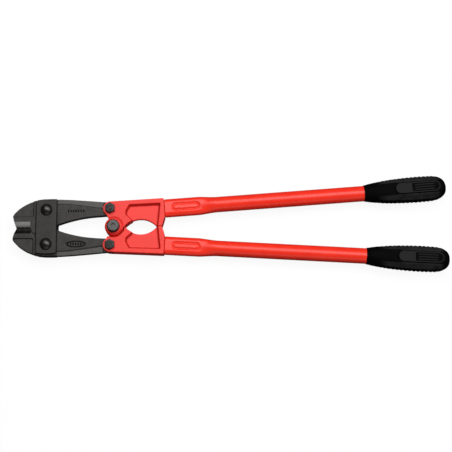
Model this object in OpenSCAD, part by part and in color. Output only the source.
// Bolt cutters with compound handles, lying flat with the jaws closed.
// X runs from the jaws to the grips, Y across the handles, Z up out of the tool's middle plane.
// Lengths are millimetres. Plan dimensions are measured from the centre pivot.

/* [Layout] */
// Length from the jaw tips to the grip ends
overall_length = 750; // [730:5:800]
// Height of the tool's middle plane above what it rests on
mid_height = 21.5; // [21.5:0.1:23]
// Distance from the centre pivot forward to the jaw bolts
jaw_bolt_x = 115; // [114:0.5:116]
// Distance from the middle line out to each jaw bolt
jaw_bolt_y = 30; // [29.5:0.1:30.5]
// Distance from the centre pivot forward to the link bolts
link_bolt_x = 6; // [5.5:0.1:6.5]
// Distance from the middle line out to each link bolt
link_bolt_y = 32; // [31.8:0.1:32.3]
// Angle between each handle tube and the middle line, in degrees
handle_slope = 3.7; // [3:0.1:4.5]
// How far the two frames shift across each other at the centre pivot as the handles open
pivot_shift = 3.5; // [3.5:0.1:3.8]

/* [Blades] */
// Distance from the jaw bolts forward to the jaw tips
nose_reach = 58.8; // [58:0.1:60]
// Half thickness of a blade at the straps and the cutting edge
blade_half = 9.5; // [9:0.1:9.5]
// Half thickness of the nose pocket
pocket_half = 7.3; // [6.5:0.1:8.5]
// Half thickness of the tail
tail_half = 6.3; // [5.5:0.1:6.4]
// Depth of the step along the outer side of the tail
rim_step = 1.1; // [0.5:0.1:1.5]
// Radius of the round end of the tail
tail_r = 11.3; // [11:0.1:11.5]
// Radius of the lobe that turns in the lower blade's socket
lobe_r = 13; // [12:0.1:13]
// Depth of each side of the cutting bevel, measured square to the edge
bevel_run = 10.3; // [9.5:0.1:11]

/* [Straps] */
// Width of a strap along the tool
strap_w = 34.8; // [33:0.2:35]
// Length of a strap across the jaws
strap_l = 94; // [92:0.5:95]
// Thickness of a strap
strap_t = 5; // [4:0.1:5]

/* [Frames] */
// Half thickness of a frame
frame_half = 11.5; // [11:0.1:12]
// Half thickness of the web inside the recess
web_half = 4.2; // [3:0.1:5]
// Radius of the fork ear at the link bolt
ear_r = 12.2; // [12:0.1:12.5]
// Radius of the ear at the centre pivot
boss_r = 15.3; // [15:0.1:16]
// Height of the raised ring on the centre ear
ring_h = 0.8; // [0.5:0.1:1]
// Half length of the window between the frames
window_half_l = 27.5; // [25:0.5:28]
// Half height of the window between the frames
window_half_h = 13.2; // [12:0.1:14]
// Length of the tang inside the tube
tang_l = 56; // [50:1:58]

/* [Handles] */
// Outer diameter of the tube
tube_d = 26.9; // [26.9]
// Wall of the tube
tube_wall = 2.5; // [2:0.1:3]
// Width of the flattened tube at the frame
flat_w = 32.2; // [32.2]
// Thickness of the flattened tube at the frame
flat_t = 16.5; // [16:0.1:17]
// Length of the grip
grip_l = 143; // [140:1:145]
// Largest width of the grip
grip_w = 44.2; // [43.4:0.2:45]
// Thickness of the grip across its flat faces
grip_t = 41; // [40:0.2:42]

/* [Fasteners] */
// Diameter of the jaw bolts and the centre bolt
bolt_d = 12; // [12]
// Diameter of the link bolts
link_d = 10; // [10]
// Diameter of the domed heads on the jaw bolts
dome_d = 20; // [19:0.5:21]
// Diameter of the centre bolt's head
centre_head_d = 22; // [21:0.5:23]
// Width across the flats of the link bolts' heads and nuts
link_flats = 16; // [15:0.5:17]
// Width across the flats of the nuts on the jaw bolts and the centre bolt
nut_flats = 19; // [18:0.5:19]

/* [Hidden] */
$fn = 72;

steel = [0.27, 0.26, 0.25];
coral = [0.93, 0.27, 0.24];
orange_red = [0.92, 0.2, 0.13];
rubber = [0.08, 0.08, 0.08];

run_gap = 0.05;     // radial clearance of a turning pin
face_gap = 0.1;     // clearance between sliding faces
over = 1;           // how far a cutting tool passes a face

jaw_bolt = [-jaw_bolt_x, jaw_bolt_y];
link_bolt = [-link_bolt_x, link_bolt_y];
tip_x = -jaw_bolt_x - nose_reach;
pivot_x = -tip_x - overall_length / 2;      // the centre pivot's X, with the model centred on X = 0

strap_in = blade_half + face_gap;
strap_out = strap_in + strap_t;
washer_t = 1.1;
nut_t = mid_height - strap_out - washer_t;
bolt_end = mid_height - 0.5;                // a bolt ends just inside its nut

ring_top = frame_half + ring_h;
ring_r = boss_r - 1.3;
lap_r = boss_r + pivot_shift + 0.3;         // room around the other frame's ear
loose_hole_r = bolt_d / 2 + pivot_shift + 0.1;

rear = [87.2, 32.8];                        // where the tube's axis leaves the frame
axis_l = (overall_length + tip_x - rear[0]) / cos(handle_slope);
grip_from = axis_l - grip_l;
flat_l = 58;                                // flattened length of the tube
round_from = 90;                            // where the tube is fully round again
end_wall = 7;                               // how far the tube stops short of the grip's end

// Draws its children in place: the middle plane at its height, the centre pivot at its X.
module placed() translate([pivot_x, 0, mid_height]) children();

// The lower half of the tool is the upper half turned over about the X axis.
module half(side) rotate([side > 0 ? 0 : 180, 0, 0]) children();

module at(point) translate([point[0], point[1], 0]) children();

// A plate of the given half thickness about the middle plane.
module slab(half_t) translate([0, 0, -half_t]) linear_extrude(2 * half_t) children();

module rounded(r) offset(r = r) offset(delta = -r) children();

module filleted(r) offset(r = -r) offset(delta = r) children();

module stadium(l, w) {
    square([l - w, w], center = true);
    for (side = [-1, 1]) translate([side * (l - w) / 2, 0]) circle(d = w);
}

// ---------------------------------------------------------------- blades

edge_gap = 0.1;                     // half the gap left between the closed edges
bevel_end = -142;                   // where the cutting edge meets the lobe
pad_front = -137.6;                 // front of the raised pad under the straps
pad_back = -98;                      // just under the straps' rear edge
band_y = 18.7;                      // outer border of the band behind the cutting edge
lobe_x = -129.7;

// Outline of the upper blade without its tail end, clockwise from the edge's front end.
blade_points = [
    [-168.4, edge_gap], [tip_x, 20.6], [-171, 25.1], [-164, 32.2], [-157, 37.3], [-150.5, 41.1],
    [-143.6, 44.2], [-136.5, 46.7], [-129, 48.6], [-120, 49.7], [-108, 50], [-92, 49.8],
    [-72, 48.8], [-51, 47.2], [-30, 45.5], [-link_bolt_x, link_bolt_y + tail_r],
    [-link_bolt_x, link_bolt_y - tail_r], [-30, 19.2], [-41, 18.2], [-51, 16.9], [-61, 15.1],
    [-72, 12.6], [-82, 9.8], [-92, 6.5], [-97.4, 4.5], [-112, 0.9], [-116.9, edge_gap]
];

module blade_outline() {
    polygon(blade_points);
    translate(link_bolt) circle(r = tail_r);
}

module zone(x_from, x_to, y_from, y_to)
    translate([x_from, y_from]) square([x_to - x_from, y_to - y_from]);

// Wedges that leave the two faces of the cutting bevel, meeting in the edge.
module bevels() {
    slope = atan(blade_half / bevel_run);
    for (face = [0, 180])
        rotate([face, 0, 0])
            translate([tip_x - over, 0, 0])
                rotate([90, 0, 90])
                    linear_extrude(bevel_end - tip_x + over)
                        mirror([face == 0 ? 0 : 1, 0])
                            translate([edge_gap, 0]) bevel_section(slope);
}

module bevel_section(slope)
    polygon([
        [-over, -0.001], [0, 0],
        [bevel_run * 1.2, bevel_run * 1.2 * tan(slope)], [-over, bevel_run * 1.2 * tan(slope)]
    ]);

module nose_pockets()
    for (side = [-1, 1])
        translate([0, 0, side * (pocket_half + blade_half) / 2])
            linear_extrude(blade_half - pocket_half + 0.01, center = true)
                rounded(4) zone(tip_x - 20, pad_front, band_y, 70);

// The step that runs down the outer side of the tail on both faces.
module tail_rims()
    for (side = [-1, 1])
        translate([0, 0, side * (tail_half - rim_step / 2)])
            linear_extrude(rim_step + 0.01, center = true)
                polygon([
                    [pad_back - 2, 41.5], [-78, 41], [-23, 33.6], [-17, 33], [-17, 60],
                    [pad_back - 2, 60]
                ]);

module blade_blank() {
    difference() {
        slab(blade_half) intersection() {
            blade_outline();
            zone(tip_x - over, pad_back, -over, 70);
        }
        nose_pockets();
        bevels();
    }
    difference() {
        slab(tail_half) intersection() {
            blade_outline();
            zone(pad_back - 5, 30, -over, 70);
        }
        tail_rims();
    }
}

module blade_bores() {
    at(jaw_bolt) cylinder(r = bolt_d / 2 + run_gap, h = 4 * blade_half, center = true);
    at(link_bolt) cylinder(r = link_d / 2 + run_gap, h = 4 * blade_half, center = true);
}

module upper_blade()
    color(steel) placed() difference() {
        union() {
            blade_blank();
            translate([lobe_x, 0, 0]) cylinder(r = lobe_r, h = 2 * blade_half, center = true);
        }
        blade_bores();
    }

module lower_blade()
    color(steel) placed() half(-1) difference() {
        blade_blank();
        translate([lobe_x, 0, 0])
            cylinder(r = lobe_r + 0.3, h = 4 * blade_half, center = true);
        blade_bores();
    }

// ---------------------------------------------------------------- straps

module strap() {
    end_rise = 1.5;                 // how far the ends bulge past their corners
    end_r = (pow(strap_w / 2, 2) + pow(end_rise, 2)) / (2 * end_rise);
    corner_r = 2;
    difference() {
        translate([-jaw_bolt_x, 0, strap_in]) linear_extrude(strap_t) rounded(corner_r) intersection() {
            square([strap_w, strap_l], center = true);
            translate([0, strap_l / 2 - end_r]) circle(r = end_r, $fn = 360);
            translate([0, end_r - strap_l / 2]) circle(r = end_r, $fn = 360);
        }
        for (side = [-1, 1])
            at([jaw_bolt[0], side * jaw_bolt[1]]) cylinder(d = bolt_d, h = 60, center = true);
    }
}

module front_strap() color(steel) placed() strap();

module back_strap() color(steel) placed() rotate([180, 0, 0]) strap();

// ---------------------------------------------------------------- frames

outer_slope = 2.75;                 // slope of a frame's outer side, in degrees
window_x = 46.5;
// The window's arc passes through its corner on the middle line and its highest point.
window_r = (pow(window_half_l, 2) + pow(window_half_h, 2)) / (2 * window_half_h);
rear_half = 16.3;                   // half the height of the face that the tube butts on
rear_dir = [-sin(handle_slope), cos(handle_slope)];
tang_fit = 2 * tube_wall + 2 * run_gap;     // how much smaller the tang is than the tube outside
ear_top = link_bolt + ear_r * [-sin(outer_slope), cos(outer_slope)];

module frame_outline()
    difference() {
        filleted(3) {
            translate(link_bolt) circle(r = ear_r);
            circle(r = boss_r);
            polygon([
                ear_top, rear + rear_half * rear_dir, rear - rear_half * rear_dir,
                [83.4, edge_gap], [window_x + window_half_l - 4, edge_gap], [19, edge_gap],
                [12.5, -8.6], [0, 0], [-7, 12], [-13.5, 22.6]
            ]);
        }
        translate([window_x, window_half_h - window_r]) circle(r = window_r, $fn = 180);
    }

// The hollow panel on each face, open towards the window.
module recess_outline()
    rounded(4) polygon([
        [28, 36.3], [78.6, 38.3], [74.2, -3], [44, -3], [34.2, 10], [22.4, 20.5], [22.4, 26.5]
    ]);

// The space that the blade's tail sweeps between the fork's cheeks.
module fork_outline() {
    sweep = 58;                     // how far the blade turns in the frame
    r = tail_r + 0.6;
    reach = 40;                     // how far the cut runs out of the frame
    translate(link_bolt) {
        circle(r = r);
        polygon([
            [0, -r], [-reach, -r], [-reach, reach], [r * sin(sweep) - reach * cos(sweep),
            r * cos(sweep) + reach * sin(sweep)], [r * sin(sweep), r * cos(sweep)]
        ]);
    }
}

module frame_blank()
    difference() {
        union() {
            slab(frame_half) frame_outline();
            cylinder(r = ring_r, h = ring_top);
            at(rear) rotate([0, 0, handle_slope]) rotate([90, 0, 90])
                translate([0, 0, -over]) linear_extrude(tang_l + over)
                    stadium(flat_w - tang_fit, flat_t - tang_fit);
        }
        translate([0, 0, face_gap - 2 * frame_half]) cylinder(r = lap_r, h = 2 * frame_half);
        for (face = [web_half, -frame_half - over])
            translate([0, 0, face]) linear_extrude(frame_half - web_half + over) recess_outline();
        slab(tail_half + face_gap) fork_outline();
        at(link_bolt) cylinder(d = link_d, h = 4 * frame_half, center = true);
    }

module upper_frame()
    color(coral) placed() difference() {
        frame_blank();
        cylinder(d = bolt_d, h = 4 * frame_half, center = true);
    }

module lower_frame()
    color(coral) placed() half(-1) difference() {
        frame_blank();
        cylinder(r = loose_hole_r, h = 4 * frame_half, center = true);
    }

// ---------------------------------------------------------------- handles

// Draws its children along the upper tube: the tube's axis is Z, its flat faces look along Y.
module along_tube() at(rear) rotate([0, 0, handle_slope]) rotate([90, 0, 90]) children();

module tube_solid(shrink) {
    disc_t = 0.01;
    linear_extrude(flat_l) stadium(flat_w - 2 * shrink, flat_t - 2 * shrink);
    hull() {
        translate([0, 0, flat_l - disc_t]) linear_extrude(disc_t)
            stadium(flat_w - 2 * shrink, flat_t - 2 * shrink, $fn = 32);
        translate([0, 0, round_from]) cylinder(d = tube_d - 2 * shrink, h = disc_t, $fn = 32);
    }
    translate([0, 0, round_from]) cylinder(d = tube_d - 2 * shrink, h = axis_l - round_from - end_wall);
}

// The grooves that crimp the flattened tube on its tang, one on each face.
module crimps() {
    crimp_at = 37;                  // middle of the crimp along the tube
    depth = 1;
    tool_h = 8;
    for (side = [-1, 1])
        translate([0, side * (flat_t / 2 - depth + tool_h / 2), crimp_at])
            rotate([90, 0, 0]) linear_extrude(tool_h, center = true) rotate(90) difference() {
                stadium(50, 14);
                stadium(40, 5);
            }
}

module tube()
    along_tube() difference() {
        tube_solid(0);
        translate([0, 0, -0.001]) tube_solid(tube_wall);
        crimps();
    }

module upper_tube() color(orange_red) placed() tube();

module lower_tube() color(orange_red) placed() half(-1) tube();

// Half widths of the grip at distances from its mouth, up to where its round end starts.
grip_points = [
    [0, 14.3], [2.5, 14.5], [4, 15.1], [12, 16.4], [20, 17.5], [32, 19], [52, 20.5],
    [72, 21.6], [94, grip_w / 2], [112, 21.6]
];
grip_end_from = grip_l - 31;
grip_end_r = 21.6;

module grip()
    along_tube() translate([0, 0, grip_from]) difference() {
        intersection() {
            rotate_extrude() polygon(concat(
                [[0, 0]],
                [for (p = grip_points) [p[1], p[0]]],
                [for (a = [10:10:90])
                    [grip_end_r * pow(cos(a), 0.75), grip_end_from + (grip_l - grip_end_from) * sin(a)]]
            ));
            translate([0, 0, grip_l / 2]) cube([2 * grip_w, grip_t, 2 * grip_l], center = true);
        }
        translate([0, 0, -over]) cylinder(d = tube_d, h = grip_l - end_wall + over);
    }

module upper_grip() color(rubber) placed() grip();

module lower_grip() color(rubber) placed() half(-1) grip();

// ---------------------------------------------------------------- fasteners

// A bolt from the top of its seat down through the tool, with its head left to the children.
module shank(d, seat) translate([0, 0, -bolt_end]) cylinder(d = d, h = bolt_end + seat + 0.5);

module hexagon(flats, h) cylinder(d = flats / cos(30), h = h, $fn = 6);

module washer(d_out, d_in, t) difference() {
    cylinder(d = d_out, h = t);
    translate([0, 0, -over]) cylinder(d = d_in, h = t + 2 * over);
}

module nut(flats, d, h) difference() {
    hexagon(flats, h);
    translate([0, 0, -over]) cylinder(d = d, h = h + 2 * over);
}

module domed_head() {
    rim = 2.4;
    rise = 4.6;
    ball_r = (pow(dome_d / 2, 2) + pow(rise, 2)) / (2 * rise);
    rotate_extrude() difference() {
        union() {
            square([dome_d / 2, rim]);
            intersection() {
                translate([0, rim + rise - ball_r]) circle(r = ball_r, $fn = 180);
                translate([0, rim - 0.01]) square([dome_d / 2, rise + over]);
            }
        }
        translate([-40, -20]) square([40, 60]);
    }
}

module jaw_bolt_part(side)
    color(steel) placed() at([jaw_bolt[0], side * jaw_bolt[1]]) {
        translate([0, 0, strap_out]) domed_head();
        shank(bolt_d, strap_out);
    }

module jaw_washer(side)
    color(steel) placed() at([jaw_bolt[0], side * jaw_bolt[1]])
        translate([0, 0, -strap_out - washer_t]) washer(22, bolt_d, washer_t);

module jaw_nut(side)
    color(steel) placed() at([jaw_bolt[0], side * jaw_bolt[1]])
        translate([0, 0, -mid_height]) nut(nut_flats, bolt_d, nut_t);

module upper_jaw_bolt() jaw_bolt_part(1);
module lower_jaw_bolt() jaw_bolt_part(-1);
module upper_jaw_washer() jaw_washer(1);
module lower_jaw_washer() jaw_washer(-1);
module upper_jaw_nut() jaw_nut(1);
module lower_jaw_nut() jaw_nut(-1);

centre_head_h = 7.8;
centre_washer_t = 2;
centre_washer_top = -ring_top - face_gap;

module centre_bolt()
    color(steel) placed() difference() {
        union() {
            translate([0, 0, ring_top]) rotate_extrude() polygon([
                [0, 0], [centre_head_d / 2, 0], [centre_head_d / 2, centre_head_h - 2.2],
                [centre_head_d / 2 - 0.7, centre_head_h - 0.8],
                [centre_head_d / 2 - 2.2, centre_head_h], [0, centre_head_h]
            ]);
            shank(bolt_d, ring_top);
        }
        translate([0, 0, ring_top + centre_head_h - 3]) hexagon(7, 3 + over);
    }

module centre_washer()
    color(steel) placed() translate([0, 0, centre_washer_top - centre_washer_t])
        washer(2 * ring_r - 0.6, bolt_d, centre_washer_t);

module centre_nut()
    color(steel) placed() translate([0, 0, -mid_height])
        nut(nut_flats, bolt_d, mid_height + centre_washer_top - centre_washer_t);

link_head_h = 6.4;
link_nut_h = 8;
link_washer_t = 1.6;
link_end = frame_half + link_washer_t + link_nut_h;

module link_bolt_part(side)
    color(steel) placed() at([link_bolt[0], side * link_bolt[1]]) {
        translate([0, 0, frame_half]) rotate(30) hexagon(link_flats, link_head_h);
        translate([0, 0, -link_end]) cylinder(d = link_d, h = link_end + frame_half + 0.5);
    }

module link_washer(side)
    color(steel) placed() at([link_bolt[0], side * link_bolt[1]])
        translate([0, 0, -frame_half - link_washer_t]) washer(19, link_d, link_washer_t);

module link_nut(side)
    color(steel) placed() at([link_bolt[0], side * link_bolt[1]])
        translate([0, 0, -link_end]) rotate(30) nut(link_flats, link_d, link_nut_h);

module upper_link_bolt() link_bolt_part(1);
module lower_link_bolt() link_bolt_part(-1);
module upper_link_washer() link_washer(1);
module lower_link_washer() link_washer(-1);
module upper_link_nut() link_nut(1);
module lower_link_nut() link_nut(-1);

upper_blade();
lower_blade();
front_strap();
back_strap();
upper_jaw_bolt();
lower_jaw_bolt();
upper_jaw_washer();
lower_jaw_washer();
upper_jaw_nut();
lower_jaw_nut();
upper_frame();
lower_frame();
centre_bolt();
centre_washer();
centre_nut();
upper_link_bolt();
lower_link_bolt();
upper_link_washer();
lower_link_washer();
upper_link_nut();
lower_link_nut();
upper_tube();
lower_tube();
upper_grip();
lower_grip();
